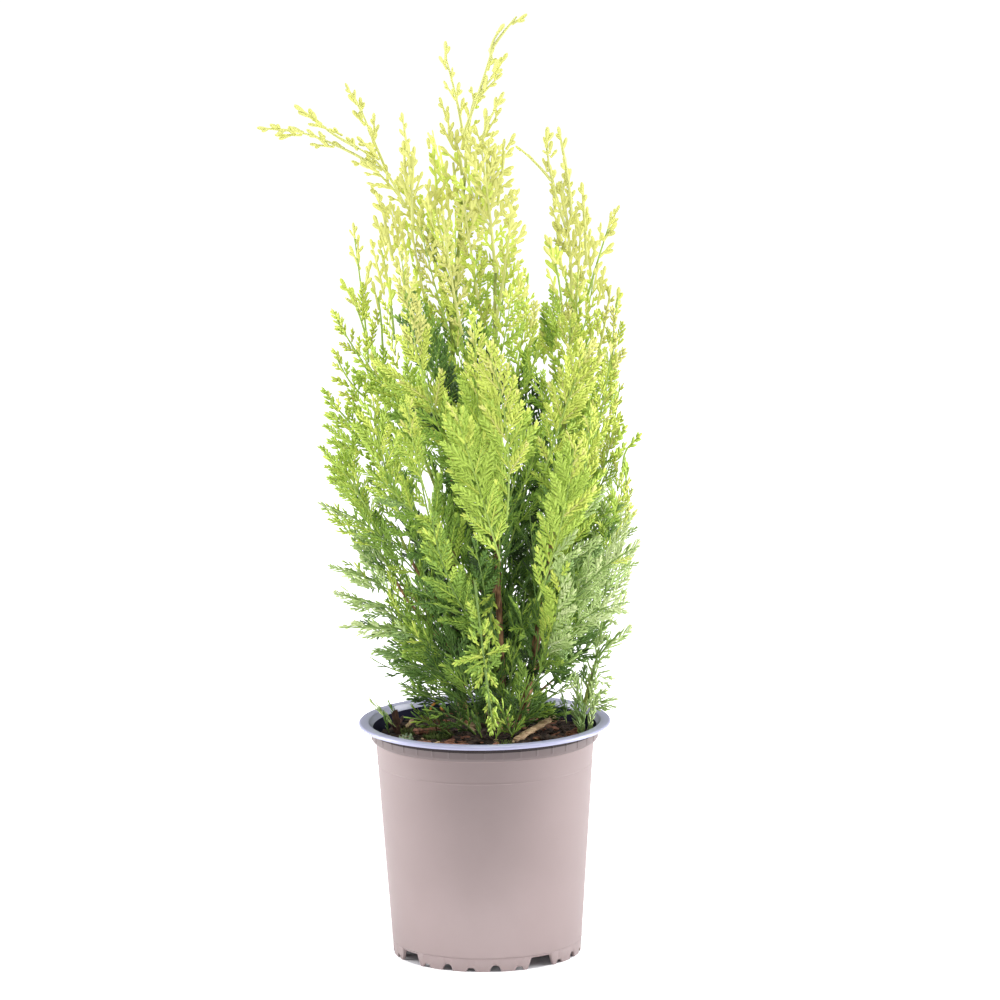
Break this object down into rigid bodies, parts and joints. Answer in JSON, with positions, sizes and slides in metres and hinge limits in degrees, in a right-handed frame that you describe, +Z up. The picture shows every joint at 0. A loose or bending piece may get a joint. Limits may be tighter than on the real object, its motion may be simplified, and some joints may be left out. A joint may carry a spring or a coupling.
{
  "type": "potted lawson cypress",
  "caption": "Young Lawson cypress with upright, flat, gold-green fronds on slender stems, standing in a tapered plastic nursery pot of bark compost.",
  "frame": {"origin": "the pot's axis where the flat underside meets the ground", "axes": "+Z up the plant, -Z down onto the ground, -Y to the front, +X to the viewer's right"},
  "size_m": [0.2894, 0.2009, 0.711],
  "materials": {
    "pot_plastic": "taupe moulded polypropylene with a soft sheen",
    "compost": "dark damp bark compost",
    "bark": "thin flaking reddish-brown bark",
    "bark_chip": "torn, dry bark and wood splinters",
    "leaf_gold": "yellow-lime scale leaves of the new growth",
    "leaf_lime": "lime-green scale leaves",
    "leaf_green": "mid to deep green scale leaves of the inner and lower sprays"
  },
  "bodies": {
    "root": {"arch": "leaf_gold", "arch_upper": "leaf_gold", "back_hem_left": "leaf_green", "back_hem_right": "leaf_green", "back_left": "leaf_lime", "back_middle": "leaf_lime", "back_right": "leaf_lime", "back_upper": "leaf_gold", "bark_chip_back": "bark_chip", "bark_chip_left": "bark_chip", "bark_stick": "bark_chip", "bough_arch": "bark", "bough_arch_upper": "bark", "bough_front_upper": "bark", "bough_left_edge": "bark", "bough_left_middle": "bark", "bough_left_plume": "bark", "bough_left_upper": "bark", "bough_right_edge": "bark", "bough_right_outer": "bark", "bough_spear": "bark", "compost": "compost", "crest_left": "leaf_gold", "crest_right": "leaf_gold", "front_hanging": "leaf_green", "front_hem": "leaf_green", "front_left": "leaf_lime", "front_middle": "leaf_lime", "front_right": "leaf_lime", "front_small": "leaf_green", "front_upper": "leaf_gold", "gold": "leaf_gold", "gold_right": "leaf_gold", "leader": "leaf_gold", "leader_left": "leaf_gold", "left_edge": "leaf_lime", "left_hem": "leaf_green", "left_low": "leaf_green", "left_middle": "leaf_lime", "left_plume": "leaf_gold", "left_side": "leaf_lime", "left_skirt": "leaf_green", "left_upper": "leaf_gold", "pot": "pot_plastic", "right_edge": "leaf_lime", "right_inner": "leaf_gold", "right_leader": "leaf_gold", "right_low": "leaf_green", "right_middle": "leaf_lime", "right_outer": "leaf_gold", "right_side": "leaf_lime", "right_skirt": "leaf_green", "right_spear": "leaf_gold", "small_frond": "leaf_green", "spear": "leaf_gold", "stem_centre": "bark", "stem_left": "bark", "stem_right": "bark", "stem_small": "bark"}
  },
  "joints": []
}
